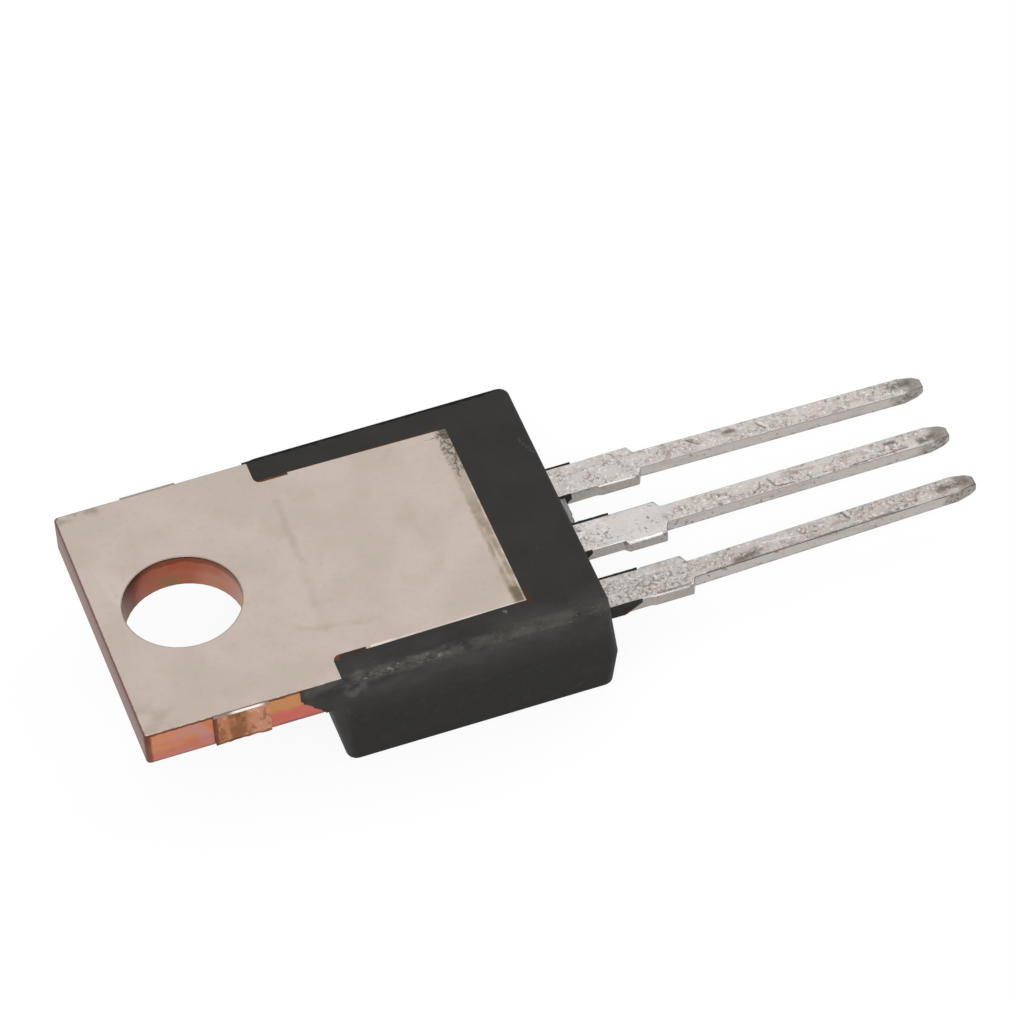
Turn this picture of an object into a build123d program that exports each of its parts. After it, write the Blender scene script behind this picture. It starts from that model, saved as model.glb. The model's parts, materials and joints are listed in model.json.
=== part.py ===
"""Three-lead voltage regulator in a moulded package with a screw tab, lying on its front face.

Millimetres. The origin is the centre of the screw hole on the back of the tab, the face that
goes against a heat sink. +X runs towards the lead tips and +Z out of the back of the tab, so
every depth below is measured down from the back.
"""
import os
from math import atan2, tan

from build123d import *

os.makedirs("parts", exist_ok=True)

# Heat-sink tab, stamped from the thick gauge of the copper strip
tab_width = 9.8
tab_thickness = 1.28
hole_diameter = 3.78
hole_to_tab_end = 2.75
hole_to_shoulder = 3.63
tab_corner_radius = 0.15
tab_edge_radius = 0.07

# Neck of the tab, held in the resin, and the relief cut behind each shoulder
neck_length = 6.36
neck_taper = 0.08
shoulder_depth = 0.89
shoulder_corner_radius = 0.25
relief_length = 1.1
relief_depth = 0.1

# Sheared ends of the tie bars on the sides of the tab
tie_bar_from_hole = 0.36
tie_bar_length = 1.8
tie_bar_proud = 0.08
tie_bar_bevel = 0.05

# Leads, stamped from the thin gauge of the strip
lead_pitch = 2.54
lead_depth = 2.39
lead_thickness = 0.46
lead_root_width = 1.27
lead_blade_width = 0.75
lead_reach = 12.87
input_tip_lean = -0.17
centre_tip_lean = 0.06
output_tip_lean = 0.3

# Sheared dam bar that leaves a wider stub on each lead
body_to_stub = 1.75
stub_width = 1.37
stub_length = 1.27
stub_ramp = 0.16
centre_stub_stump = 0.1
blade_ramp = 0.14

# Coined lead tips
tip_taper_length = 0.7
tip_width = 0.44
tip_corner = 0.08
tip_coin_length = 0.25
tip_coin_depth = 0.1

# Bond posts on the inner ends of the outer leads
post_gap = 0.56
post_length = 1.35
post_width = 1.9

# Tongue that carries the centre lead down from the neck
tongue_start = 0.25
tongue_run = 1.2
tongue_root = 0.4

# Chip, its solder and its bond wires
die_length = 2.2
die_width = 1.9
die_thickness = 0.25
die_from_neck_end = 2.0
solder_thickness = 0.05
solder_margin = 0.1
wire_diameter = 0.25
wire_side_count = 8
wire_loop_rise = 0.6
wire_bend_radius = 0.35
bond_from_die_edge = 0.4
bond_spread = 0.5
bond_from_post_end = 0.6
ground_bond_from_die = 1.2
foot_length = 0.6
foot_width = 0.36
foot_thickness = 0.1

# Moulded body: widest at the back and drafted towards the front
strip_proud = 0.16
resin_over_leads = 1.45
resin_past_neck = 2.39
parting_bulge = 0.3
nose_overhang = 0.43
nose_inset = 0.5
side_inset = 0.46
end_inset = 0.19
corner_radius = 0.35
strip_bevel_length = 0.5
back_edge_radius = 0.14
front_edge_radius = 0.18
ejector_mark_diameter = 1.8
ejector_mark_depth = 0.06
ejector_mark_from_nose = 2.2

# Length by which a cut runs past the face that it opens
overrun = 0.5

# Places worked out from the sizes above
neck_width = tab_width - 2 * shoulder_depth
neck_end_x = hole_to_shoulder + neck_length
lead_mid_depth = lead_depth + lead_thickness / 2
body_width = tab_width + 2 * strip_proud
body_end_x = neck_end_x + resin_past_neck
parting_end_x = body_end_x + parting_bulge
tip_x = parting_end_x + lead_reach
stub_start_x = parting_end_x + body_to_stub
stub_end_x = stub_start_x + stub_length
blade_x = stub_end_x + blade_ramp
taper_x = tip_x - tip_taper_length
post_x = neck_end_x + post_gap
post_end_x = post_x + post_length
die_x = neck_end_x - die_from_neck_end
solder_face_depth = tab_thickness + solder_thickness
die_face_depth = solder_face_depth + die_thickness
lead_face_depth = lead_depth + lead_thickness
body_thickness = lead_face_depth + resin_over_leads
wire_loop_depth = lead_face_depth + wire_loop_rise
nose_x = hole_to_shoulder - nose_overhang


def lead_plan(stations, lead_y, tip_lean, near_stump=0):
    """Draws a lead's outline through (x, width) stations; the blade leans over to its tip.

    A stump of the dam bar can stand out further on the near side of the stub.
    """
    far_side = []
    near_side = []
    for x, width in stations:
        lean = tip_lean * max(0, x - blade_x) / (tip_x - blade_x)
        far_side.append((x, lead_y + lean + width / 2))
        stump = near_stump if stub_start_x <= x <= stub_end_x else 0
        near_side.append((x, lead_y + lean - width / 2 - stump))
    with BuildSketch(Plane.XY.offset(-lead_depth)) as plan:
        with BuildLine():
            Polyline(far_side + near_side[::-1], close=True)
        make_face()
    return plan.sketch


# Stations of a lead outside the body, from its root to its tip
outer_stations = [
    (stub_start_x - stub_ramp, lead_root_width),
    (stub_start_x, stub_width),
    (stub_end_x, stub_width),
    (blade_x, lead_blade_width),
    (taper_x, lead_blade_width),
    (tip_x - tip_corner, tip_width),
    (tip_x, tip_width - tip_corner),
]

# Heat-sink tab with the centre lead
with BuildPart() as tab_and_centre_lead:
    with BuildSketch():
        with BuildLine():
            Polyline(
                (-hole_to_tab_end, 0),
                (-hole_to_tab_end, tab_width / 2),
                (hole_to_shoulder, tab_width / 2),
                (hole_to_shoulder, neck_width / 2 - relief_depth),
                (hole_to_shoulder + relief_length, neck_width / 2 - relief_depth),
                (hole_to_shoulder + relief_length, neck_width / 2),
                (neck_end_x, neck_width / 2 - neck_taper),
                (neck_end_x, 0),
            )
            mirror(about=Plane.XZ)
        make_face()
        Circle(hole_diameter / 2, mode=Mode.SUBTRACT)
    extrude(amount=-tab_thickness)
    shoulder_corners = edges().filter_by(Axis.Z).filter_by(
        lambda edge: abs(edge.center().X - hole_to_shoulder) < relief_length / 2
        and abs(edge.center().Y) < neck_width / 2
    )
    fillet(shoulder_corners, shoulder_corner_radius)
    tab_corners = edges().filter_by(Axis.Z).group_by(Axis.X)[0]
    fillet(tab_corners, tab_corner_radius)
    back_edges = faces().sort_by(Axis.Z)[-1].outer_wire().edges()
    fillet(back_edges.filter_by(lambda edge: edge.center().X < hole_to_shoulder / 2), tab_edge_radius)
    # Sheared tie bars, one on each side
    with BuildSketch():
        with Locations((tie_bar_from_hole, 0)):
            Rectangle(tie_bar_length, tab_width + 2 * tie_bar_proud)
            Rectangle(tie_bar_length, tab_width - 2 * tab_edge_radius, mode=Mode.SUBTRACT)
    extrude(amount=-tab_thickness)
    tie_bar_edges = edges().filter_by(Axis.X).group_by(Axis.Z)[-1]
    chamfer(
        tie_bar_edges.filter_by(lambda edge: abs(edge.center().Y) > tab_width / 2),
        tie_bar_bevel,
    )
    # Tongue bent down from the neck to the plane of the leads
    tongue_mid_depth = tab_thickness - lead_thickness / 2
    tongue_x = neck_end_x + tongue_start
    tongue_end_x = tongue_x + tongue_run
    mitre = lead_thickness / 2 * tan(atan2(lead_mid_depth - tongue_mid_depth, tongue_run) / 2)
    with BuildSketch(Plane.XZ):
        with BuildLine():
            Polyline(
                (neck_end_x - tongue_root, lead_thickness - tab_thickness),
                (tongue_x + mitre, lead_thickness - tab_thickness),
                (tongue_end_x + mitre, -lead_depth),
                (stub_start_x - stub_ramp, -lead_depth),
                (stub_start_x - stub_ramp, -lead_face_depth),
                (tongue_end_x - mitre, -lead_face_depth),
                (tongue_x - mitre, -tab_thickness),
                (neck_end_x - tongue_root, -tab_thickness),
                close=True,
            )
        make_face()
    extrude(amount=lead_root_width / 2, both=True)
    extrude(
        lead_plan(outer_stations, 0, centre_tip_lean, centre_stub_stump),
        amount=-lead_thickness,
    )
    tip_edges = faces().sort_by(Axis.X)[-1].edges().filter_by(Axis.Y)
    chamfer(tip_edges, tip_coin_depth, tip_coin_length, reference=faces().sort_by(Axis.X)[-1])
tab_and_centre_lead.part.label = "tab_and_centre_lead"
export_step(tab_and_centre_lead.part, "parts/tab_and_centre_lead.step")
embedded = [tab_and_centre_lead.part]

# Outer leads, each with a wide bond post inside the resin
post_stations = [
    (post_x, post_width),
    (post_end_x, post_width),
    (post_end_x + (post_width - lead_root_width) / 2, lead_root_width),
]
for lead_name, lead_y, tip_lean in (
    ("input_lead", lead_pitch, input_tip_lean),
    ("output_lead", -lead_pitch, output_tip_lean),
):
    with BuildPart() as outer_lead:
        extrude(lead_plan(post_stations + outer_stations, lead_y, tip_lean), amount=-lead_thickness)
        tip_edges = faces().sort_by(Axis.X)[-1].edges().filter_by(Axis.Y)
        chamfer(tip_edges, tip_coin_depth, tip_coin_length, reference=faces().sort_by(Axis.X)[-1])
    outer_lead.part.label = lead_name
    export_step(outer_lead.part, f"parts/{lead_name}.step")
    embedded.append(outer_lead.part)

# Solder under the chip
with BuildPart() as die_solder:
    with BuildSketch(Plane.XY.offset(-tab_thickness)):
        with Locations((die_x, 0)):
            Rectangle(die_length + 2 * solder_margin, die_width + 2 * solder_margin)
    extrude(amount=-solder_thickness)
die_solder.part.label = "die_solder"
export_step(die_solder.part, "parts/die_solder.step")
embedded.append(die_solder.part)

# Regulator chip
with BuildPart() as silicon_die:
    with BuildSketch(Plane.XY.offset(-solder_face_depth)):
        with Locations((die_x, 0)):
            Rectangle(die_length, die_width)
    extrude(amount=-die_thickness)
silicon_die.part.label = "silicon_die"
export_step(silicon_die.part, "parts/silicon_die.step")
embedded.append(silicon_die.part)

# Bond wires, each arched between two flattened feet, with few sides because they are sealed in
lead_bond_x = die_x + die_length / 2 - bond_from_die_edge
ground_bond_x = die_x - die_length / 2 + bond_from_die_edge
tab_bond_x = die_x - die_length / 2 - ground_bond_from_die
post_bond_x = post_x + bond_from_post_end
ground_loop_depth = die_face_depth + wire_loop_rise
for wire_name, start, end, loop_depth in (
    (
        "input_wire",
        Vector(lead_bond_x, bond_spread, -die_face_depth),
        Vector(post_bond_x, lead_pitch, -lead_face_depth),
        wire_loop_depth,
    ),
    (
        "output_wire",
        Vector(lead_bond_x, -bond_spread, -die_face_depth),
        Vector(post_bond_x, -lead_pitch, -lead_face_depth),
        wire_loop_depth,
    ),
    (
        "ground_wire",
        Vector(ground_bond_x, 0, -die_face_depth),
        Vector(tab_bond_x, 0, -tab_thickness),
        ground_loop_depth,
    ),
):
    with BuildPart() as bond_wire:
        with BuildLine() as route:
            FilletPolyline(
                start,
                (start.X, start.Y, -loop_depth),
                (end.X, end.Y, -loop_depth),
                end,
                radius=wire_bend_radius,
            )
        with BuildSketch(Plane(start, z_dir=(0, 0, -1))):
            RegularPolygon(wire_diameter / 2, wire_side_count)
        sweep()
        along = Vector(end.X - start.X, end.Y - start.Y, 0)
        for foot in (start, end):
            with BuildSketch(Plane(foot, x_dir=along, z_dir=(0, 0, -1))):
                SlotOverall(foot_length, foot_width)
            extrude(amount=foot_thickness)
    bond_wire.part.label = wire_name
    export_step(bond_wire.part, f"parts/{wire_name}.step")
    embedded.append(bond_wire.part)

# Moulded body, drafted on every side and open where the frame comes out
body_sections = (
    (0, body_end_x),
    (lead_face_depth, parting_end_x),
    (body_thickness, parting_end_x - end_inset),
)
nose_slope_share = nose_inset / (body_thickness - tab_thickness)
with BuildPart() as moulded_body:
    for depth, end_x in body_sections:
        start_x = nose_x + nose_slope_share * (depth - tab_thickness)
        width = body_width - 2 * side_inset * depth / body_thickness
        with BuildSketch(Plane.XY.offset(-depth)):
            with Locations(((start_x + end_x) / 2, 0)):
                RectangleRounded(end_x - start_x, width, corner_radius)
    loft(ruled=True)
    # Worn edge round the back and rounded edge round the front
    fillet(edges().group_by(Axis.Z)[-1], back_edge_radius)
    fillet(edges().group_by(Axis.Z)[0], front_edge_radius)
    # Seat of the tab in front of the shoulders
    with BuildSketch():
        with Locations((hole_to_shoulder, 0)):
            Rectangle(
                2 * nose_overhang + 2 * overrun,
                body_width + 2 * overrun,
                align=(Align.MAX, Align.CENTER),
            )
    extrude(amount=-tab_thickness, mode=Mode.SUBTRACT)
    # Bevelled starts of the strips beside the neck
    with BuildSketch():
        with BuildLine():
            Polyline(
                (hole_to_shoulder, tab_width / 2),
                (hole_to_shoulder + 2 * strip_bevel_length, tab_width / 2 + 2 * strip_proud),
                (hole_to_shoulder, tab_width / 2 + 2 * strip_proud),
                close=True,
            )
        make_face()
        mirror(about=Plane.XZ)
    extrude(amount=-tab_thickness, mode=Mode.SUBTRACT)
    # Shallow round mark of the ejector pin in the front
    with BuildSketch(Plane.XY.offset(-body_thickness)):
        with Locations((nose_x + nose_inset + ejector_mark_from_nose, 0)):
            Circle(ejector_mark_diameter / 2)
    extrude(amount=ejector_mark_depth, mode=Mode.SUBTRACT)
    # Room for every piece that the resin was moulded round
    for piece in embedded:
        add(piece, mode=Mode.SUBTRACT)
moulded_body.part.label = "moulded_body"
export_step(moulded_body.part, "parts/moulded_body.step")
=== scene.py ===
import json
from math import radians

import bmesh
import bpy
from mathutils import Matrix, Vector


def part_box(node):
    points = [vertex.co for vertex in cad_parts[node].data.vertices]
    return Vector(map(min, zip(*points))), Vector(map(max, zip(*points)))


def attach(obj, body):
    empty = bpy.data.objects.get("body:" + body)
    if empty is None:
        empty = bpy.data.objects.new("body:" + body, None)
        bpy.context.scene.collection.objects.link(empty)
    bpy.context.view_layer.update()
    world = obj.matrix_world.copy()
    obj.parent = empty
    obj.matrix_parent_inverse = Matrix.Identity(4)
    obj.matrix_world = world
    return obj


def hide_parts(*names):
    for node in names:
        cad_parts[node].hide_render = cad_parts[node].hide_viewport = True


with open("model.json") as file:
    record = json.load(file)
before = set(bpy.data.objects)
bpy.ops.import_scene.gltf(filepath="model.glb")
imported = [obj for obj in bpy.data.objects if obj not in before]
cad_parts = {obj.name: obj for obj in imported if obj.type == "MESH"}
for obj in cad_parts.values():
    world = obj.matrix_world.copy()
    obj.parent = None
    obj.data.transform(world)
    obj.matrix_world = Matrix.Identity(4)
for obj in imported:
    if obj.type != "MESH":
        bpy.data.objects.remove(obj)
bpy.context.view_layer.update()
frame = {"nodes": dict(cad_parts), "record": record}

# Heat-sink tab and centre lead: one stamping from copper strip of two gauges, nickel plated before
# it was punched, so its flat faces are satin grey and its sheared sides bare copper. Torn tie bars
# show on both sides of the tab. The thin lead was dipped in tin after moulding.
mm = 0.001
mounts = frame["record"]["mounts"]
screw_hole = next(mount for mount in mounts if mount["name"] == "screw_hole")
hole_radius = screw_hole["dims"]["r_mm"]
tab_thickness = screw_hole["dims"]["length_mm"]
tab_low, tab_high = (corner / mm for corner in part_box("tab_and_centre_lead"))
body_low, body_high = (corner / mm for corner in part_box("moulded_body"))
lead_low, lead_high = (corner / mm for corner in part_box("output_lead"))
tie_bar_proud = 0.08
tie_bar_bevel = 0.05
tie_bar_low_x = -0.54
tie_bar_high_x = 1.26
tear_depth = 0.035
tear_cuts = 11
tear_margin = 0.05
tear_top_z = -1.5 * tie_bar_bevel
tear_smoothing = 0.25
tab_side_y = tab_high.y - tie_bar_proud
tie_bar_y = tab_high.y - tie_bar_proud / 2
shoulder_x = 3.63
neck_end_x = 9.99
neck_side_y = 3.93
tin_start_x = neck_end_x + 0.05
weld_distance = 0.0005
sliver = 0.0001
flat_angle = radians(0.5)
level_normal = 0.999
side_normal = 0.9
plated_normal = 0.6
sharp_angle = radians(35)
stub_start_x = 14.43
stub_end_x = 15.7
stub_half_width = 0.685
stub_roll = 0.15
centre_roll_share = 1.2
edge_round_share = 0.3
tab_round_share = 0.2
round_segments = 3
largest_whole_face = 4
touch = 0.01
beside = 0.1
shoulder_margin = 0.2


def working_copy(node, name, holed=lambda at: False):
    """Copies a CAD node's mesh into a new piece and merges its loose triangles into whole faces.

    Level faces where holed(middle) is true keep their triangles: one face can't have a hole.
    """
    bpy.ops.object.select_all(action="DESELECT")
    piece = bpy.data.objects.new(name, frame["nodes"][node].data.copy())
    bpy.context.scene.collection.objects.link(piece)
    bpy.context.view_layer.objects.active = piece
    piece.select_set(True)
    piece.data.materials.clear()
    bpy.ops.object.mode_set(mode="EDIT")
    bpy.ops.mesh.select_all(action="SELECT")
    bpy.ops.mesh.remove_doubles(threshold=weld_distance * mm)
    pick(piece, "FACE", lambda at, face: not (abs(face.normal.z) > level_normal and holed(at)))
    bpy.ops.mesh.dissolve_limited(angle_limit=flat_angle)
    return piece


def middle_of(part):
    """The middle of a vertex, an edge or a face, in mm."""
    if isinstance(part, bmesh.types.BMVert):
        return part.co / mm
    if isinstance(part, bmesh.types.BMEdge):
        return (part.verts[0].co + part.verts[1].co) / 2 / mm
    return part.calc_center_median() / mm


def pick(piece, kind, test):
    """In edit mode, selects the vertices, edges or faces of a piece whose middle passes a test."""
    bpy.ops.mesh.select_mode(type=kind)
    bpy.ops.mesh.select_all(action="DESELECT")
    mesh = bmesh.from_edit_mesh(piece.data)
    for part in {"VERT": mesh.verts, "EDGE": mesh.edges, "FACE": mesh.faces}[kind]:
        part.select_set(bool(test(middle_of(part), part)))
    mesh.select_flush_mode()
    bmesh.update_edit_mesh(piece.data)


def is_sharp(edge):
    """True for an edge between two faces that meet at a real corner."""
    return len(edge.link_faces) == 2 and edge.calc_face_angle(0) > sharp_angle


def soften(piece, width, share, clamp=False):
    """Rounds edges: share(middle, edge) gives the share of the full width that an edge gets."""
    mesh = bmesh.from_edit_mesh(piece.data)
    weights = mesh.edges.layers.float.new("bevel_weight_edge")
    for edge in mesh.edges:
        edge[weights] = share(middle_of(edge), edge)
    bmesh.update_edit_mesh(piece.data)
    bpy.ops.object.mode_set(mode="OBJECT")
    bevel = piece.modifiers.new("rounding", "BEVEL")
    bevel.limit_method = "WEIGHT"
    bevel.width = width * mm
    bevel.segments = round_segments
    bevel.use_clamp_overlap = clamp
    bpy.ops.object.modifier_apply(modifier=bevel.name)


def hand_over(piece, slot, *nodes):
    """Shades a finished piece and puts it in the part in place of its CAD nodes."""
    split = piece.modifiers.new("small_faces", "TRIANGULATE")
    split.min_vertices = largest_whole_face + 1
    split.ngon_method = "CLIP"
    bpy.ops.object.modifier_apply(modifier=split.name)
    bpy.ops.object.mode_set(mode="EDIT")
    bpy.ops.mesh.select_all(action="SELECT")
    bpy.ops.mesh.dissolve_degenerate(threshold=sliver * mm)
    pick(piece, "FACE", lambda at, face: abs(face.normal.z) > level_normal)
    bpy.ops.mesh.mod_weighted_strength(set=True, face_strength="STRONG")
    pick(piece, "EDGE", lambda at, edge: is_sharp(edge))
    bpy.ops.mesh.mark_sharp()
    bpy.ops.object.mode_set(mode="OBJECT")
    bpy.ops.object.shade_smooth_by_angle(angle=sharp_angle)
    flatten = piece.modifiers.new("flat_faces", "WEIGHTED_NORMAL")
    flatten.keep_sharp = True
    flatten.use_face_influence = True
    bpy.ops.object.modifier_apply(modifier=flatten.name)
    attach(piece, "root")
    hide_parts(*nodes)


def add_node(tree, kind, links=None, **settings):
    """Adds a shader node, sets it up and fills its inputs from values, nodes or sockets."""
    node = tree.nodes.new("ShaderNode" + kind)
    for name, value in settings.items():
        setattr(node, name, value)
    for key, value in (links or {}).items():
        if isinstance(key, int):
            socket = node.inputs[key]
        else:
            socket = next(s for s in node.inputs if s.enabled and s.name == key)
        if isinstance(value, bpy.types.Node):
            value = next(s for s in value.outputs if s.enabled)
        if isinstance(value, bpy.types.NodeSocket):
            tree.links.new(value, socket)
        else:
            socket.default_value = value
    return node


def linear(code):
    """Turns an sRGB hex colour into the linear values that a colour socket takes."""
    shares = [int(code[i:i + 2], 16) / 255 for i in (1, 3, 5)]
    return [s / 12.92 if s <= 0.04045 else ((s + 0.055) / 1.055) ** 2.4 for s in shares] + [1]


def new_material(name, **settings):
    """Starts a material; returns it with its tree, its shader and the place on the part in mm."""
    material = bpy.data.materials.new(name)
    material.use_nodes = True
    tree = material.node_tree
    shader = tree.nodes["Principled BSDF"]
    for socket, value in settings.items():
        shader.inputs[socket.replace("_", " ")].default_value = value
    whole = add_node(tree, "TexCoord").outputs["Object"]
    place = add_node(tree, "Mapping", {"Vector": whole, "Scale": (1 / mm,) * 3})
    return material, tree, shader, place


def cloud(tree, place, size, low, high, stretch=(1, 1, 1), detail=3, shift=0):
    """Patches about size mm across: 0 where the cloud is under low, rising to 1 at high."""
    scale = [1 / (size * s) for s in stretch]
    moved = add_node(tree, "Mapping", {"Vector": place, "Location": (shift,) * 3, "Scale": scale})
    noise = add_node(tree, "TexNoise", {"Vector": moved, "Scale": 1, "Detail": detail})
    return add_node(
        tree, "MapRange", {"Value": noise, "From Min": low, "From Max": high},
        interpolation_type="SMOOTHSTEP")


def wrinkles(tree, place, size, breadth, shift=0):
    """Thin curled lines, as the folds in a frozen skin, about size mm apart."""
    moved = add_node(
        tree, "Mapping", {"Vector": place, "Location": (shift,) * 3, "Scale": (1 / size,) * 3})
    noise = add_node(
        tree, "TexNoise", {"Vector": moved, "Scale": 1, "Detail": 1, "Distortion": 1.2})
    off = add_node(tree, "Math", {0: noise, 1: 0.5}, operation="SUBTRACT")
    ridge = add_node(tree, "Math", {0: off}, operation="ABSOLUTE")
    return add_node(
        tree, "MapRange", {"Value": ridge, "From Min": breadth, "From Max": 0.3 * breadth},
        interpolation_type="SMOOTHSTEP")


def ragged(tree, place, size, reach):
    """The place on the part, pushed about by reach mm, so that a border drawn with it is uneven."""
    noise = add_node(tree, "TexNoise", {"Vector": place, "Scale": 1 / size, "Detail": 4})
    push = add_node(
        tree, "VectorMath", {0: noise.outputs["Color"], 1: (-0.5,) * 3}, operation="ADD")
    return add_node(
        tree, "VectorMath", {0: push, 1: (4 * reach,) * 3, 2: place}, operation="MULTIPLY_ADD")


def zone(tree, place, soft, **limits):
    """A mask of 1 inside limits such as x=(0, 2), in mm, that fades out over soft mm past them."""
    axes = add_node(tree, "SeparateXYZ", {0: place}).outputs
    mask = None
    for axis, (low, high) in limits.items():
        for border, past in ((low, -soft), (high, soft)):
            if border is None:
                continue
            side = add_node(
                tree, "MapRange",
                {"Value": axes[axis.upper()], "From Min": border + past, "From Max": border},
                interpolation_type="SMOOTHSTEP")
            if mask:
                side = add_node(tree, "Math", {0: mask, 1: side}, operation="MULTIPLY")
            mask = side
    return mask


def streak(tree, place, start, end, width):
    """A soft line on the back between two (x, y) points, width mm to each side."""
    span = Vector((end[0] - start[0], end[1] - start[1], 0))
    flat = add_node(tree, "VectorMath", {0: place, 1: (1, 1, 0)}, operation="MULTIPLY")
    reach = add_node(tree, "VectorMath", {0: flat, 1: (*start, 0)}, operation="SUBTRACT")
    along = add_node(
        tree, "VectorMath", {0: reach, 1: span / span.length_squared}, operation="DOT_PRODUCT")
    held = add_node(tree, "Clamp", {"Value": along.outputs["Value"]})
    near = add_node(tree, "VectorMath", {0: span, "Scale": held}, operation="SCALE")
    away = add_node(tree, "VectorMath", {0: reach, 1: near}, operation="DISTANCE")
    return add_node(
        tree, "MapRange", {"Value": away.outputs["Value"], "From Min": width, "From Max": 0},
        interpolation_type="SMOOTHSTEP")


def strokes(tree, place, *lines):
    """Several streaks in one mask: each line is a start, an end and a width."""
    mask = None
    for line in lines:
        mark = streak(tree, place, *line)
        if mask:
            mark = add_node(tree, "Math", {0: mask, 1: mark}, operation="MAXIMUM")
        mask = mark
    return mask


def round_hole(tree, place, near, far):
    """A mask of 1 up to near mm from the wall of the screw hole that fades out at far mm."""
    across = add_node(tree, "VectorMath", {0: place, 1: (1, 1, 0)}, operation="MULTIPLY")
    away = add_node(tree, "VectorMath", {0: across}, operation="LENGTH").outputs["Value"]
    return add_node(
        tree, "MapRange",
        {"Value": away, "From Min": hole_radius + far, "From Max": hole_radius + near})


def coats(tree, socket, ground, *layers):
    """Paints a colour socket: a ground, and colours over it, each through its masks and weights."""
    colour = linear(ground)
    for code, *masks in layers:
        cover = masks[0]
        for mask in masks[1:]:
            cover = add_node(tree, "Math", {0: cover, 1: mask}, operation="MULTIPLY")
        colour = add_node(
            tree, "Mix", {"Factor": cover, "A": colour, "B": linear(code)}, data_type="RGBA")
    tree.links.new(next(s for s in colour.outputs if s.enabled), socket)


# Satin nickel plate: rolled, plated strip gives a warm grey with soft pink and tan clouds and a
# fine grain, drawn coarser than the real one so that it shows. Handling has left thin brown
# stains, and the edge of the resin an olive rim with dark curled lines. The polished bevel on the
# near tie bar is painted near white, a painted highlight.
nickel_plate, tree, shader, place = new_material("satin_nickel_plate", Metallic=1.0)
uneven = ragged(tree, place, 0.35, 0.05)
wander = ragged(tree, place, 1.0, 0.1)
nicked = ragged(tree, place, 0.12, 0.012)
broken = cloud(tree, place, 0.5, 0.38, 0.62, shift=2)
patchy = cloud(tree, place, 0.7, 0.25, 0.7, shift=2)
scribble = strokes(
    tree, ragged(tree, place, 0.2, 0.06),
    ((9.70, 3.75), (10.04, 3.61), 0.07), ((10.04, 3.61), (9.75, 3.41), 0.07),
    ((9.75, 3.41), (10.00, 3.16), 0.07), ((10.00, 3.16), (9.71, 2.96), 0.07),
    ((9.71, 2.96), (9.91, 2.73), 0.07), ((9.91, 2.73), (9.80, 2.23), 0.06),
    ((9.80, 2.23), (9.76, 1.78), 0.05), ((9.24, 3.70), (9.63, 3.68), 0.04),
)
# The polished bevel along the top of the near tie bar: smoother, and painted near white as a
# painted highlight.
burnish_and_highlight = zone(tree, nicked, 0.35, x=(0.25, 0.85), y=(None, -tie_bar_y + 0.02))
on_bevel = zone(tree, place, 0.012, y=(None, -tie_bar_y + 0.012))
coats(
    tree, shader.inputs["Base Color"], "#bfb2a8",
    ("#c6b8b0", cloud(tree, place, 2.6, 0.38, 0.62)),
    ("#b8ab9b", cloud(tree, place, 1.2, 0.5, 0.75, shift=7), 0.5),
    ("#a99d92", cloud(tree, place, 0.22, 0.5, 0.8), 0.25),
    ("#8f8478", cloud(tree, place, 0.08, 0.68, 0.76), 0.25),
    ("#9a8b74", streak(tree, wander, (4.0, 2.9), (3.97, 0.3), 0.22), patchy, 0.34),
    ("#a08f78", streak(tree, wander, (3.97, 0.3), (3.85, -2.6), 0.32), patchy, 0.32),
    ("#a18f79", streak(tree, wander, (3.1, -2.45), (5.5, -3.0), 0.22), patchy, 0.35),
    ("#a39683", zone(tree, wander, 0.6, x=(None, -1.9), y=(None, -3.9)), broken, 0.35),
    ("#8d8374", zone(tree, wander, 0.25, x=(None, -1.5), y=(4.66, None)), broken, 0.65),
    ("#a3998d", zone(tree, uneven, 0.16, x=(neck_end_x - 0.3, None), y=(0.2, None)), 0.6),
    ("#8f826b", zone(tree, uneven, 0.16, x=(neck_end_x - 0.3, None)),
     zone(tree, uneven, 1.2, y=(None, 0)), cloud(tree, place, 0.6, 0.2, 0.62), 0.8),
    ("#d9cdbb", streak(tree, uneven, (9.72, -0.6), (9.8, -3.2), 0.09), patchy, 0.6),
    ("#5f574b", scribble, cloud(tree, place, 0.2, 0.3, 0.52, shift=5), 0.85),
    ("#5f574b", wrinkles(tree, place, 0.3, 0.05, shift=3),
     zone(tree, uneven, 0.12, x=(neck_end_x - 0.36, None), y=(2.1, 3.8)), 0.75),
    ("#655b48", zone(tree, uneven, 0.22, x=(neck_end_x - 0.22, None), y=(None, -3.35)), 0.75),
    ("#463f36", zone(tree, uneven, 0.06, x=(neck_end_x - 0.2, None), y=(3.55, None)), 0.7),
    ("#d3c8bd", zone(tree, place, 0.02, x=(neck_end_x - 0.045, None), y=(None, 1.5)), broken, 0.7),
    ("#e4dcd4", zone(tree, place, 0.03, x=(4.9, None), y=(None, -neck_side_y + 0.01)), patchy, 0.9),
    ("#5d4335", zone(tree, nicked, 0.02, y=(None, -tab_side_y + 0.02)), 0.75),
    ("#7d756c", zone(tree, nicked, 0.03, y=(tab_side_y - 0.04, tab_side_y - 0.01)), 0.7),
    ("#5c5148", zone(tree, nicked, 0.01, y=(tab_high.y - 0.03, None)), 0.7),
    ("#83705f", round_hole(tree, place, 0.025, 0.05), 0.6),
    ("#7c4a45", zone(tree, nicked, 0.03, x=(None, tab_low.x + 0.035)), 0.85),
    ("#4d3f38",
     zone(tree, nicked, 0.08, x=(None, tab_low.x + 0.08), y=(tab_side_y - 0.1, None)), 0.8),
    # Painted highlight on the polished tie-bar bevel.
    ("#f4eee8", burnish_and_highlight, on_bevel, 0.85),
)
shine = add_node(tree, "Math", {0: burnish_and_highlight, 1: on_bevel}, operation="MULTIPLY")
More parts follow.
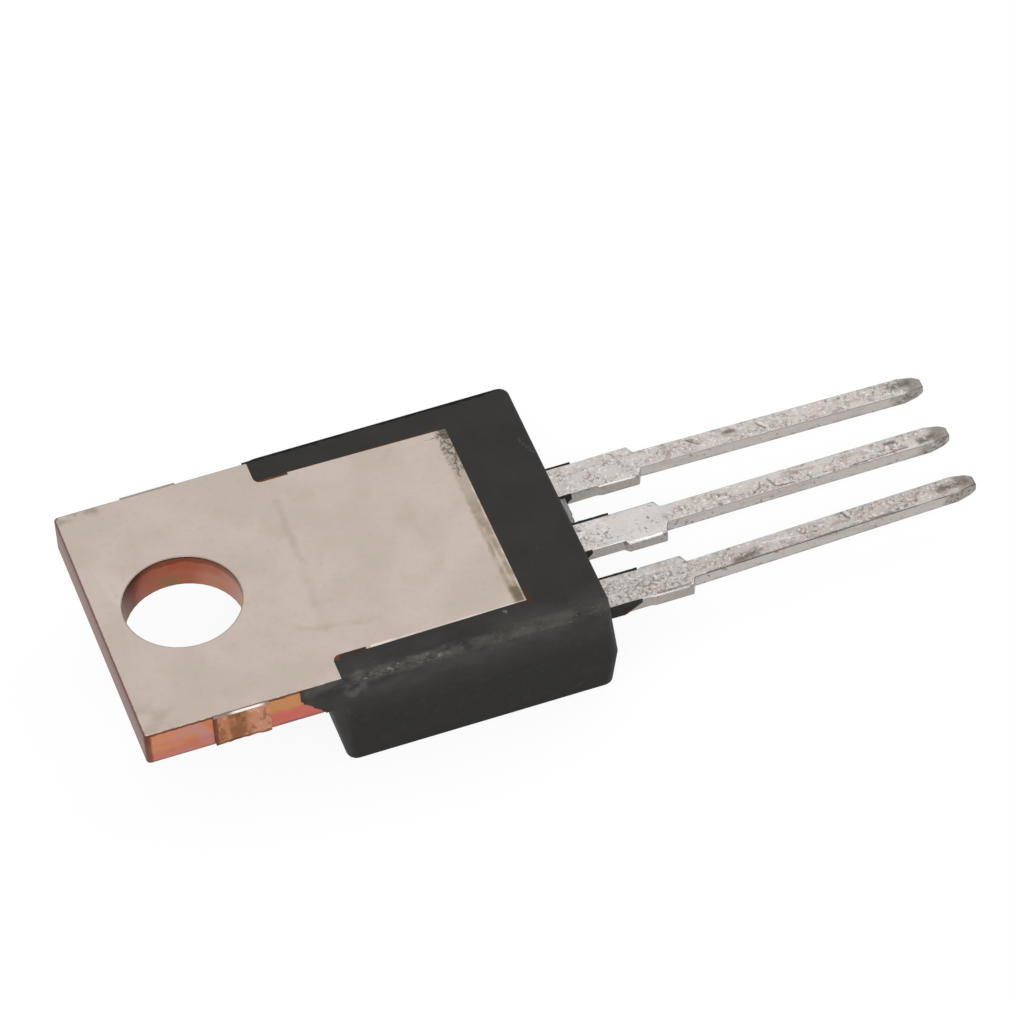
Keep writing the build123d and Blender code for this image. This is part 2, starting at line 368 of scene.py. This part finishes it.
polish = add_node(tree, "MapRange", {"Value": shine, "To Min": 0.42, "To Max": 0.22})
tree.links.new(polish.outputs[0], shader.inputs["Roughness"])
grain = cloud(tree, place, 0.05, 0.2, 0.8)
relief = add_node(tree, "Bump", {"Strength": 0.25, "Distance": 0.004 * mm, "Height": grain})
tree.links.new(relief.outputs[0], shader.inputs["Normal"])

# Sheared copper: the punch leaves bare metal, burnished orange near the back and torn pink below,
# with purple and brown heat tints. The broken tie bars are browner, with a few pale flecks.
sheared_copper, tree, shader, place = new_material(
    "sheared_copper", Metallic=1.0, Roughness=0.42)
uneven = ragged(tree, place, 0.5, 0.09)
nicked = ragged(tree, place, 0.2, 0.025)
in_hole = round_hole(tree, place, 0.1, 0.3)
tie_bars = zone(tree, place, 0.02, x=(tie_bar_low_x, tie_bar_high_x))
outside = add_node(tree, "Math", {0: 1, 1: in_hole}, operation="SUBTRACT")
broken = cloud(tree, place, 0.6, 0.38, 0.6, shift=4)
torn = add_node(tree, "Math", {0: tie_bars, 1: outside}, operation="MULTIPLY")
coats(
    tree, shader.inputs["Base Color"], "#c98865",
    ("#c0703f", cloud(tree, place, 0.8, 0.4, 0.62, stretch=(1.6, 1, 0.9)), 0.6),
    ("#bd8a52", zone(tree, uneven, 0.3, x=(1.2, None), z=(-0.6, None)), 0.6),
    ("#bf8680", zone(tree, uneven, 0.4, x=(-1.8, -0.5), z=(None, -0.25)), broken, 0.9),
    ("#c2655f", zone(tree, uneven, 0.2, x=(1.2, None), z=(None, -0.74)), 0.8),
    ("#b87268", zone(tree, uneven, 0.2, x=(None, -0.5), z=(None, -0.9)), 0.6),
    ("#75585f", zone(tree, nicked, 0.05, z=(None, -tab_thickness + 0.04)), 0.8),
    ("#5a3a2b", zone(tree, nicked, 0.03, z=(-0.075, None)), 0.85),
    ("#7d534b", zone(tree, place, 0.05, x=(None, tab_low.x + 0.06)), 0.95),
    ("#5f3a3a", zone(tree, nicked, 0.15, x=(None, tab_low.x + 0.06), z=(-0.38, None)), 0.85),
    ("#6b4433",
     zone(tree, nicked, 0.08, x=(None, tab_low.x + 0.16), y=(None, -tab_side_y + 0.11)), 0.8),
    ("#b47c5c", torn, 0.95),
    ("#c48d73", torn, zone(tree, uneven, 0.2, x=(0.75, None)), 0.8),
    ("#d3a78c", torn, cloud(tree, place, 0.16, 0.56, 0.68, stretch=(1, 1, 1.6)), 0.55),
    ("#865737", torn, zone(tree, uneven, 0.14, x=(0.0, 0.42)),
     cloud(tree, place, 0.5, 0.3, 0.55), 0.85),
    ("#804f35", torn,
     cloud(tree, place, 0.3, 0.56, 0.66, stretch=(0.8, 1, 1.4), shift=3), 0.6),
    ("#64402c", torn, zone(tree, nicked, 0.05, z=(None, -tab_thickness + 0.08)), 0.7),
    ("#5d3826", torn, zone(tree, nicked, 0.05, x=(None, tie_bar_low_x + 0.07)), 0.8),
    ("#9f5c46", in_hole, 0.92),
    ("#b3806a", in_hole, zone(tree, uneven, 0.6, x=(1.3, None)), 0.7),
    ("#a04e3d", in_hole, zone(tree, uneven, 0.25, x=(0.2, 1.5), z=(-0.5, -0.15)), 0.5),
    ("#6a2d0c", in_hole, zone(tree, uneven, 0.5, x=(None, -1.3)), 0.95),
    ("#7d6b48", in_hole, zone(tree, uneven, 0.2, x=(-0.05, 0.25), z=(None, -0.95)), 0.6),
    ("#643a2c", in_hole, zone(tree, uneven, 0.12, z=(-0.2, None)), 0.6),
    ("#3d2f2a", in_hole, zone(tree, nicked, 0.03, z=(-0.05, None)), 0.8),
)

# Tin plate: a hot dip that froze in a wrinkled skin, pale grey with a pink cast; its folds show as
# dark flecks, and bright flecks on the tops are painted glints. Handling left dark strokes on the
# blades and olive smudges at the tips; bright strokes on the blades are painted highlights. The
# sheared sides took a thinner, smoother coat, worn dark where the tips were cropped; they are also
# painted darker than the tops as painted shade, as are the rounded blade edges and the far top
# edges of the stubs.
tin_plate, tree, shader, place = new_material("mottled_tin_plate", Metallic=1.0)
facing = add_node(tree, "TexCoord").outputs["Normal"]
upward = add_node(tree, "VectorMath", {0: facing, 1: (0, 0, 1)}, operation="DOT_PRODUCT")
levelness = add_node(tree, "Math", {0: upward.outputs["Value"]}, operation="ABSOLUTE")
sides = add_node(tree, "MapRange", {"Value": levelness, "From Min": 0.4, "From Max": 0.15})
flats = add_node(tree, "MapRange", {"Value": levelness, "From Min": 0.8, "From Max": 0.95})
covered = add_node(tree, "Math", {0: sides, 1: flats}, operation="ADD")
edges = add_node(tree, "Math", {0: 1, 1: covered}, operation="SUBTRACT")
uneven = ragged(tree, place, 0.3, 0.08)
scrawled = ragged(tree, place, 0.15, 0.02)
crowded = cloud(tree, place, 0.5, 0.38, 0.6, stretch=(1.5, 1, 1))
broken = cloud(tree, place, 0.16, 0.46, 0.6, detail=2, shift=8)
folds = wrinkles(tree, place, 0.24, 0.07)
patchy = cloud(tree, place, 0.5, 0.35, 0.62, stretch=(2, 1, 1), shift=4)
smooth_stub = zone(
    tree, uneven, 0.3,
    x=(stub_start_x - 0.3, stub_end_x + 0.1), y=(-stub_half_width, stub_half_width))
plain = add_node(tree, "MapRange", {"Value": smooth_stub, "To Min": 1.0, "To Max": 0.2})
roots = zone(tree, place, 0.1, x=(None, stub_end_x + 0.02))
blades = zone(tree, place, 0.1, x=(stub_end_x + 0.1, None))
input_side = zone(tree, place, 0.3, y=(1.4, None))
output_side = zone(tree, place, 0.3, y=(None, -1.4))
tip_end = zone(tree, uneven, 0.4, x=(tab_high.x - 0.4, None))
cropped = zone(tree, uneven, 0.4, x=(tab_high.x - 0.9, None))
dark_strokes = strokes(
    tree, scrawled,
    ((19.42, 0.17), (19.56, -0.2), 0.06), ((19.56, -0.21), (20.2, -0.28), 0.04),
    ((17.73, 0.11), (17.76, 0.08), 0.07), ((18.82, -0.24), (19.09, -0.07), 0.04),
    ((19.09, -0.07), (19.14, 0.15), 0.04), ((22.06, -0.28), (24.09, -0.2), 0.04),
    ((21.07, -2.05), (21.24, -2.38), 0.08), ((21.9, -2.67), (22.64, -2.67), 0.08),
    ((22.79, -2.62), (22.83, -2.6), 0.1), ((23.1, -2.55), (23.14, -2.53), 0.1),
    ((23.47, -2.46), (23.5, -2.44), 0.1), ((16.3, -2.88), (19.4, -2.81), 0.08),
    ((19.4, -2.81), (20.8, -2.74), 0.08), ((20.8, -2.74), (22.3, -2.76), 0.08),
    ((19.92, 2.62), (20.14, 2.29), 0.06), ((17.6, 2.72), (17.9, 2.45), 0.07),
    ((14.5, -3.13), (15.6, -3.13), 0.06),
    ((15.31, 0.06), (15.34, -0.00), 0.07), ((15.10, -0.37), (15.12, -0.40), 0.06),
    ((13.08, 0.30), (13.11, 0.29), 0.08),
)
# Painted highlights: bright strokes where the wavy tin catches the light.
highlight_strokes = strokes(
    tree, scrawled,
    ((19.62, -0.14), (20.2, -0.21), 0.045), ((20.02, 2.64), (20.24, 2.31), 0.05),
    ((18.3, -2.35), (19.6, -2.5), 0.06), ((21.2, -2.05), (21.36, -2.36), 0.06),
)
# Painted shade: grey lines on the tops along the far edges of the stubs, which turn away from the
# light.
far_rim_shade = strokes(
    tree, scrawled,
    ((14.25, 0.64), (15.62, 0.66), 0.06), ((15.64, 0.65), (15.84, 0.4), 0.06),
    ((14.3, -1.9), (15.62, -1.88), 0.06), ((15.64, -1.89), (15.84, -2.14), 0.06),
)
smudges = strokes(
    tree, uneven,
    ((24.5, 2.44), (25.07, 2.5), 0.22), ((24.51, -0.1), (24.97, -0.04), 0.22),
    ((23.44, 0.2), (23.73, 0.22), 0.14), ((24.31, -2.3), (24.78, -2.3), 0.22),
    ((25.0, -2.26), (25.4, -2.33), 0.22), ((24.6, -2.66), (24.8, -2.7), 0.12),
    ((17.3, -2.72), (18.0, -2.64), 0.24), ((18.9, 2.62), (19.15, 2.55), 0.16),
)
coats(
    tree, shader.inputs["Base Color"], "#d6d1cd",
    ("#c6bbb4", cloud(tree, place, 0.6, 0.42, 0.66, stretch=(1.8, 1, 1), shift=5), 0.5),
    ("#b3ada8", output_side, 0.55),
    ("#bcb6b1", input_side, roots, 0.4),
    ("#bdb5af", flats, blades, 0.4),
    ("#d0ccca", smooth_stub, 0.5),
    ("#b3aaa4", flats, cloud(tree, place, 0.3, 0.5, 0.68, shift=11), plain, 0.55),
    ("#cbb5ad", flats, cloud(tree, place, 0.2, 0.55, 0.68, shift=6), plain, 0.45),
    ("#958c85", flats, cloud(tree, place, 0.12, 0.5, 0.66, detail=2), crowded, plain, 0.75),
    # Painted glints: pale flecks on the tops.
    ("#efebe8", flats, cloud(tree, place, 0.12, 0.55, 0.68, detail=2, shift=3), plain, 0.6),
    ("#7d746d", flats, folds, broken, crowded, plain, 0.75),
    ("#6f665f", flats, cloud(tree, place, 0.11, 0.6, 0.7, detail=2, shift=9), crowded, 0.65),
    ("#7b736d", flats, output_side, roots,
     cloud(tree, place, 0.12, 0.5, 0.64, detail=2, shift=14),
     zone(tree, uneven, 0.4, y=(None, -2.5)), 0.7),
    ("#938a83", flats, blades,
     cloud(tree, place, 0.26, 0.57, 0.68, stretch=(2.2, 1, 1), shift=12), 0.5),
    ("#827b73", flats, tip_end, 0.8),
    ("#6c655c", flats, smudges, cloud(tree, place, 0.14, 0.25, 0.5), 0.9),
    # Painted highlights along the blades.
    ("#f6f4f2", flats, highlight_strokes, 0.35),
    # Painted shade along the far stub edges.
    ("#857f79", flats, far_rim_shade, 0.75),
    ("#645b55", flats, dark_strokes, 0.75),
    # The side faces: a thinner coat, and painted darker than the tops as painted shade.
    ("#bab3af", sides, 0.92),
    ("#9d9894", sides, roots, 0.9),
    ("#b1a49f", sides, output_side, roots, patchy, 0.6),
    ("#a39b96", sides, cloud(tree, place, 0.3, 0.5, 0.7, stretch=(5, 1, 1)), 0.5),
    ("#6a625c", sides, cloud(tree, place, 0.14, 0.62, 0.7, shift=2), 0.7),
    ("#847d77", sides, zone(tree, uneven, 0.08, z=(None, lead_low.z + 0.03)), 0.5),
    ("#8a837c", sides, cropped, 0.7),
    ("#5f5852", sides, cropped, cloud(tree, place, 0.13, 0.48, 0.62, detail=2, shift=6), 0.7),
    ("#cfc9c4", sides, cropped, cloud(tree, place, 0.12, 0.56, 0.68, detail=2, shift=15), 0.5),
    # Painted shade on the rounded blade edges, deepest on the output lead, which dulls their
    # highlight.
    ("#958d87", edges, blades, 0.8),
    ("#5f5650", edges, blades, output_side, patchy, 0.85),
    ("#5a514b", edges, dark_strokes, 0.8),
    # Painted shade where the rolled stub edge ends, cutting its highlight short.
    ("#8a847e", edges,
     zone(tree, place, 0.06, x=(stub_end_x - 0.12, stub_end_x + 0.02)), 0.9),
    ("#625b55", edges, tip_end, 0.7),
)
sheen = add_node(tree, "MapRange", {"Value": folds, "To Min": 0.32, "To Max": 0.46})
tree.links.new(sheen.outputs[0], shader.inputs["Roughness"])
relief = add_node(tree, "Bump", {"Strength": 0.3, "Distance": 0.006 * mm, "Height": folds})
tree.links.new(relief.outputs[0], shader.inputs["Normal"])


def lead_edge_share(middle_y, roll_share):
    """For one lead: the edges of its stub are rolled over, its other edges rounded a little."""
    def share(at, edge):
        if not is_sharp(edge) or at.x < body_high.x:
            return 0
        on_stub = stub_start_x < at.x < stub_end_x and at.z > lead_high.z - stub_roll
        if on_stub and abs(at.y - middle_y) > stub_half_width - touch:
            return roll_share
        return edge_round_share
    return share


def tab_edge_share(at, edge):
    """Rounds the tab outside the resin and the torn tie bars, and its lead as the others."""
    if at.x > body_high.x:
        return lead_edge_share(0, centre_roll_share)(at, edge)
    on_side = abs(at.y) > tab_side_y - beside
    on_tie_bar = on_side and tie_bar_low_x - beside < at.x < tie_bar_high_x + beside
    to_shoulder = on_side and at.x > tie_bar_high_x
    in_resin = at.x > shoulder_x - shoulder_margin
    if in_resin or on_tie_bar or to_shoulder or not is_sharp(edge):
        return 0
    return tab_round_share


tab = working_copy("tab_and_centre_lead", "heat_sink_tab", holed=lambda at: at.x < neck_end_x)
pick(tab, "FACE", lambda at, face: abs(at.y) > tie_bar_y and abs(face.normal.y) > side_normal)
bpy.ops.mesh.subdivide(number_cuts=tear_cuts)
pick(
    tab, "VERT",
    lambda at, vert: abs(at.y) > tie_bar_y
    and tie_bar_low_x + tear_margin < at.x < tie_bar_high_x - tear_margin
    and at.z < tear_top_z,
)
bpy.ops.transform.vertex_random(offset=tear_depth * mm, normal=1.0, seed=11)
bpy.ops.mesh.vertices_smooth(factor=tear_smoothing)
soften(tab, stub_roll, tab_edge_share)
for finish in (nickel_plate, sheared_copper, tin_plate):
    tab.data.materials.append(finish)
for face in tab.data.polygons:
    if face.center.x / mm > tin_start_x:
        face.material_index = tab.data.materials.find(tin_plate.name)
    elif abs(face.normal.z) < plated_normal:
        face.material_index = tab.data.materials.find(sheared_copper.name)
hand_over(tab, "plated_copper", "tab_and_centre_lead")

# Outer leads: blanked from the thin gauge of the same strip, cut free of the frame and tin dipped.
# The stubs beside the body are where the dam bar between the leads was sheared off, and their
# upper edges are rolled over, each to its own degree.
lead_pitch = 2.54
input_roll_share = 0.85
output_roll_share = 0.5
for node, lead_y, roll_share in (
    ("input_lead", lead_pitch, input_roll_share),
    ("output_lead", -lead_pitch, output_roll_share),
):
    lead = working_copy(node, node + "_plated")
    soften(lead, stub_roll, lead_edge_share(lead_y, roll_share))
    lead.data.materials.append(tin_plate)
    hand_over(lead, "tinned_copper", node)

# Chip and its connections: a silicon die soldered to the neck of the tab, with drawn aluminium
# wires bonded from it to the outer leads and the tab. They are sealed in the resin and keep their
# CAD shapes. Solder looks dull grey, silicon dark and glossy, the wire bright and satin.
bond_wires = ("input_wire", "output_wire", "ground_wire")
for name, nodes, ground, mottle, size, roughness in (
    ("soft_solder", ("die_solder",), "#8f8f8d", "#6f6f70", 0.2, 0.5),
    ("polished_silicon", ("silicon_die",), "#4a4a52", "#35353c", 0.3, 0.15),
    ("drawn_aluminium", bond_wires, "#c9c9c8", "#a8a8a8", 0.1, 0.35),
):
    material, tree, shader, place = new_material(name, Metallic=1.0, Roughness=roughness)
    spots = cloud(tree, place, size, 0.4, 0.65)
    coats(tree, shader.inputs["Base Color"], ground, (mottle, spots, 0.6))
    for node in nodes:
        inner = frame["nodes"][node]
        inner.data.materials.clear()
        inner.data.materials.append(material)

# Moulded body: black epoxy moulding compound, transfer moulded round the frame and the wired chip
# in one shot, so it holds them all without any fastener.
#
# Epoxy moulding compound: filled resin off a spark-eroded mould gives a matt, faintly mottled
# black, worn pale with scuffs along the near back edge, and brown where it ran out thin over the
# metal. The upper near side and its top edge are also painted lighter as painted light, the lower
# near side darker and the far top edge near black as painted shade. The grain of the mould is
# drawn coarser than the real one so that it shows.
epoxy, tree, shader, place = new_material(
    "epoxy_moulding_compound", Roughness=0.62, IOR=1.55, Specular_IOR_Level=0.1)
uneven = ragged(tree, place, 0.3, 0.06)
broken = cloud(tree, place, 0.45, 0.4, 0.62, shift=8)
fine = cloud(tree, place, 0.09, 0.42, 0.62)
near_y = -body_high.y
on_back = zone(tree, place, 0.1, z=(-0.1, None))
# Painted shade: the far top edge, rounding away from the light.
far_edge_shade = zone(tree, uneven, 0.06, y=(body_high.y - 0.15, None), z=(-0.3, None))
coats(
    tree, shader.inputs["Base Color"], "#323130",
    ("#373634", cloud(tree, place, 1.7, 0.35, 0.65), 0.8),
    # Painted shade on the lower near side, which leans away from the light.
    ("#262523", zone(tree, place, 1.2, y=(None, near_y + 0.5), z=(None, -2.2)), 0.8),
    ("#3b3a37", cloud(tree, place, 0.3, 0.5, 0.75), 0.3),
    # Lighter upper near side and top edge band: worn pale, and painted light as well.
    ("#454440", zone(tree, uneven, 0.9, y=(None, near_y + 0.25), z=(-0.5, None)),
     cloud(tree, place, 1.1, 0.34, 0.64, stretch=(1.6, 1, 0.8)), 0.85),
    ("#565550", zone(tree, uneven, 0.25, y=(None, near_y + 0.14), z=(-0.2, None)),
     cloud(tree, place, 0.5, 0.32, 0.62, stretch=(1.6, 1, 1), shift=3), 0.75),
    ("#6a6863", zone(tree, uneven, 0.2, x=(4.0, 7.0), y=(None, near_y + 0.12), z=(-0.14, None)),
     cloud(tree, place, 0.2, 0.46, 0.72, stretch=(1.8, 1, 1)), 0.7),
    ("#94918b", zone(tree, uneven, 0.1, x=(4.2, 6.8), y=(None, near_y + 0.1), z=(-0.1, None)),
     cloud(tree, place, 0.16, 0.55, 0.7, stretch=(1.5, 1, 1), shift=6), 0.6),
    ("#6f6d68", zone(tree, uneven, 0.2, x=(4.0, None), y=(None, near_y + 0.2), z=(-0.3, None)),
     cloud(tree, place, 0.11, 0.6, 0.72, shift=5), 0.55),
    # Painted shade: the far top edge near black.
    ("#0b0a09", far_edge_shade, 0.9),
    ("#46301f", on_back,
     zone(tree, uneven, 0.05, x=(neck_end_x - 0.1, neck_end_x + 0.05), y=(-4, 3)), broken, 0.6),
    ("#4a3220", on_back,
     zone(tree, uneven, 0.1, x=(9.7, neck_end_x + 0.12), y=(-4.03, -3.5)), 0.6),
    ("#4a2e1c", on_back,
     zone(tree, uneven, 0.1, x=(9.5, neck_end_x + 0.12), y=(3.7, 4.02)), broken, 0.6),
    ("#64625d",
     zone(tree, uneven, 0.2, x=(3.75, 4.3), y=(None, near_y + 0.2), z=(-0.8, -0.1)), broken, 0.5),
    ("#4d4a46",
     zone(tree, uneven, 0.3, x=(None, 3.62), y=(None, near_y + 0.4), z=(None, -1.4)), 0.3),
    ("#55534e", on_back, streak(tree, uneven, (12.0, 2.6), (12.25, 1.95), 0.16), fine, 0.6),
    ("#8a877f", on_back, streak(tree, uneven, (9.2, -4.12), (9.25, -4.22), 0.05), 0.6),
    ("#908d85", cloud(tree, place, 0.06, 0.73, 0.77), 0.6),
    ("#43301f", on_back, zone(tree, uneven, 0.06, x=(3.6, 4.75), y=(-4.04, -3.75)), broken, 0.8),
    ("#6d462b", on_back, zone(tree, uneven, 0.08, x=(3.55, 3.82), y=(-4.1, -3.75)), 0.75),
    ("#7d4d2c", on_back, zone(tree, uneven, 0.05, x=(3.5, 4.75), y=(3.75, 3.95)), 0.8),
    ("#5a321f", on_back, zone(tree, uneven, 0.04, x=(4.75, 9.6), y=(3.85, 3.99)), 0.75),
    ("#3f2a1e", zone(tree, uneven, 0.08, x=(None, 2.4)), 0.6),
    ("#4a2a22", zone(tree, uneven, 0.05, x=(2.6, 3.2), z=(-tab_thickness, -1.12)), 0.5),
    ("#38211c",
     zone(tree, uneven, 0.1, x=(13.35, 13.75), y=(None, -3), z=(None, lead_low.z + 0.24)), 0.8),
)
grain = cloud(tree, place, 0.06, 0.2, 0.8)
relief = add_node(tree, "Bump", {"Strength": 0.3, "Distance": 0.006 * mm, "Height": grain})
tree.links.new(relief.outputs[0], shader.inputs["Normal"])

strip_round = 0.06
strip_low_x, strip_high_x = shoulder_x - 0.1, shoulder_x + 1
body = working_copy("moulded_body", "moulded_housing", holed=lambda at: True)
soften(
    body, strip_round,
    lambda at, edge: is_sharp(edge) and abs(at.y) > tab_side_y - touch
    and strip_low_x < at.x < strip_high_x,
    clamp=True)

# Flash: where the mould closed on the frame, resin ran out in thin films along the sides of the tab
# in front of the shoulders, along the roots of the leads and between two of them. It was moulded
# with the body and is one with it.
film_cuts = 20
film_ragged = 0.012
film_sunk = 0.01
film_root = 0.2
film_rise = 0.015
film_top_z = -0.02
first_film_seed = 20


def resin_film(level, outward, start, end, trims, seed, upright=True, proud=0.06):
    """A thin film of resin on a face at y = level, between two (x, z) corners.

    A sheet is trimmed, made ragged and given its thickness. One that is not upright lies at
    z = level, and its corners are (x, y).
    """
    def spot(x, other):
        return Vector((x, level, other) if upright else (x, other, level)) * mm

    bpy.ops.object.select_all(action="DESELECT")
    middle = (spot(*start) + spot(*end)) / 2
    bpy.ops.mesh.primitive_plane_add(
        size=1, location=middle, rotation=(radians(90) if upright else 0, 0, 0))
    film = bpy.context.object
    film.scale = (abs(end[0] - start[0]) * mm, abs(end[1] - start[1]) * mm, 1)
    bpy.ops.object.transform_apply()
    bpy.ops.object.mode_set(mode="EDIT")
    bpy.ops.mesh.select_all(action="SELECT")
    bpy.ops.mesh.subdivide(number_cuts=film_cuts)
    for corner, normal in trims:
        bpy.ops.mesh.select_all(action="SELECT")
        bpy.ops.mesh.bisect(
            plane_co=spot(*corner), plane_no=(spot(*normal) - spot(0, 0)) / mm, clear_outer=True)
    bpy.ops.mesh.select_all(action="SELECT")
    bpy.ops.transform.vertex_random(offset=film_ragged * mm, seed=seed)
    bpy.ops.transform.resize(value=(1, 0, 1) if upright else (1, 1, 0), center_override=middle)
    thickness = outward * proud * mm
    bpy.ops.mesh.extrude_region_move(
        TRANSFORM_OT_translate={"value": (0, thickness, 0) if upright else (0, 0, thickness)})
    bpy.ops.mesh.select_all(action="SELECT")
    bpy.ops.mesh.normals_make_consistent(inside=False)
    bpy.ops.object.mode_set(mode="OBJECT")
    film.data.materials.append(epoxy)
    return film


lead_top, lead_bottom = lead_high.z, lead_low.z
root_half_width = 0.635
films = [
    resin_film(
        -tab_side_y + film_sunk, -1, (2.28, film_top_z), (shoulder_x + film_root, -tab_thickness),
        [((2.37, -0.5), (-0.72, -0.7)), ((2.3, -0.3), (-0.97, 0.2))], seed=4),
    resin_film(
        tab_side_y - film_sunk, 1, (3.5, film_top_z), (shoulder_x + film_root, -tab_thickness),
        [((3.52, -0.2), (-0.72, -0.7))], seed=6),
]
lead_thickness = lead_top - lead_bottom
for lead_y, far_end, near_end, near_trims in (
    (lead_pitch, 13.8, 13.4,
     [((13.4, -0.1), (1, 0.6)), ((13.4, -0.1), (1, -0.9)), ((13.2, -0.3), (0.4, -1))]),
    (0, 14.2, 13.22, [((13.22, -0.04), (1, 0.8)), ((13.22, -0.04), (0.9, -1))]),
    (-lead_pitch, 14.26, 13.98, [((13.98, 0), (lead_thickness, -0.74))]),
):
    far_trims = [((far_end, -0.04), (lead_thickness, -0.5))]
    for side, film_end, trims in ((1, far_end, far_trims), (-1, near_end, near_trims)):
        films.append(resin_film(
            lead_y + side * (root_half_width - film_sunk), side,
            (body_high.x - film_root, lead_top + film_rise), (film_end, lead_bottom),
            [((x, lead_top + rise), normal) for (x, rise), normal in trims],
            seed=int(first_film_seed + lead_y + side)))

# Thin grey flash: a flake of resin so thin that light gets through looks dull grey with pale
# streaks.
pale_resin, tree, shader, place = new_material("thin_grey_flash", Roughness=0.5)
coats(
    tree, shader.inputs["Base Color"], "#8f8e8b",
    ("#b5b4b1", cloud(tree, place, 0.1, 0.4, 0.6, stretch=(0.6, 4, 1)), 0.9))
flake_z = lead_top - 0.05
flake_end_x = 13.16
flake = resin_film(
    flake_z, -1,
    (body_high.x - film_root, root_half_width), (flake_end_x, lead_pitch - root_half_width),
    [((flake_end_x, 1.9), (1, -0.12))], seed=31, upright=False)
flake.data.materials[0] = pale_resin
films.append(flake)
bpy.ops.object.select_all(action="DESELECT")
for film in films:
    film.select_set(True)
body.select_set(True)
bpy.context.view_layer.objects.active = body
body.data.materials.append(epoxy)
bpy.ops.object.join()
hand_over(body, "moulded_resin", "moulded_body")

# Floor, light and camera: a sheet of white paper on a table under two soft boxes in a white room,
# seen from the photograph's side.
#
# White paper: matt and even; it shows white up to the horizon, with only a soft shadow on it.
floor_size = 0.6
paper_glow = 1.04
paper_glow_share = 0.86
room_strength = 0.65
white_strength = 1.0
white = linear("#ffffff")


def seen_rays(tree):
    """A mask of 1 for the rays that show the background: to the eye, mirrored or through glass."""
    rays = add_node(tree, "LightPath").outputs
    seen = rays["Is Camera Ray"]
    for kind in ("Is Glossy Ray", "Is Transmission Ray"):
        seen = add_node(tree, "Math", {0: seen, 1: rays[kind]}, operation="MAXIMUM")
    return seen


bpy.ops.object.select_all(action="DESELECT")
bpy.ops.mesh.primitive_plane_add(size=floor_size, location=(0, 0, body_low.z * mm))
floor = bpy.context.object
floor.name = "white_table"
paper = bpy.data.materials.new("white_paper")
paper.use_nodes = True
tree = paper.node_tree
shader = tree.nodes["Principled BSDF"]
shader.inputs["Base Color"].default_value = linear("#fbfbfb")
shader.inputs["Roughness"].default_value = 0.9
glow = add_node(tree, "Emission", {"Color": white, "Strength": paper_glow})
share = add_node(tree, "Math", {0: seen_rays(tree), 1: paper_glow_share}, operation="MULTIPLY")
sheet = add_node(tree, "MixShader", {0: share, 1: shader, 2: glow})
tree.links.new(sheet.outputs[0], tree.nodes["Material Output"].inputs["Surface"])
floor.data.materials.append(paper)

world = bpy.data.worlds.new("studio")
bpy.context.scene.world = world
world.use_nodes = True
tree = world.node_tree
strength = add_node(
    tree, "MapRange",
    {"Value": seen_rays(tree), "To Min": room_strength, "To Max": white_strength})
backdrop = tree.nodes["Background"]
backdrop.inputs["Color"].default_value = white
tree.links.new(strength.outputs[0], backdrop.inputs["Strength"])

lit_spot = Vector((9 * mm, 0, 0))
for name, spot, size, power in (
    ("key_soft_box", (-0.08, -0.26, 0.3), 0.16, 0.4),
    ("fill_soft_box", (0.25, 0.1, 0.25), 0.2, 0.12),
):
    bpy.ops.object.light_add(type="AREA", location=spot)
    lamp = bpy.context.object
    lamp.name = name
    lamp.data.size = size
    lamp.data.energy = power
    aim = lit_spot - Vector(spot)
    lamp.rotation_euler = aim.to_track_quat("-Z", "Y").to_euler()

camera_place = (-30.12, -144.87, 162.47)
camera_turn = (42.739, 3.093, -19.060)
camera_lens = 251.5
camera_nearest = 0.01
bpy.ops.object.camera_add(
    location=[value * mm for value in camera_place],
    rotation=[radians(value) for value in camera_turn],
)
camera = bpy.context.object
camera.data.lens = camera_lens
camera.data.clip_start = camera_nearest
bpy.context.scene.camera = camera
bpy.context.scene.view_settings.view_transform = "Standard"
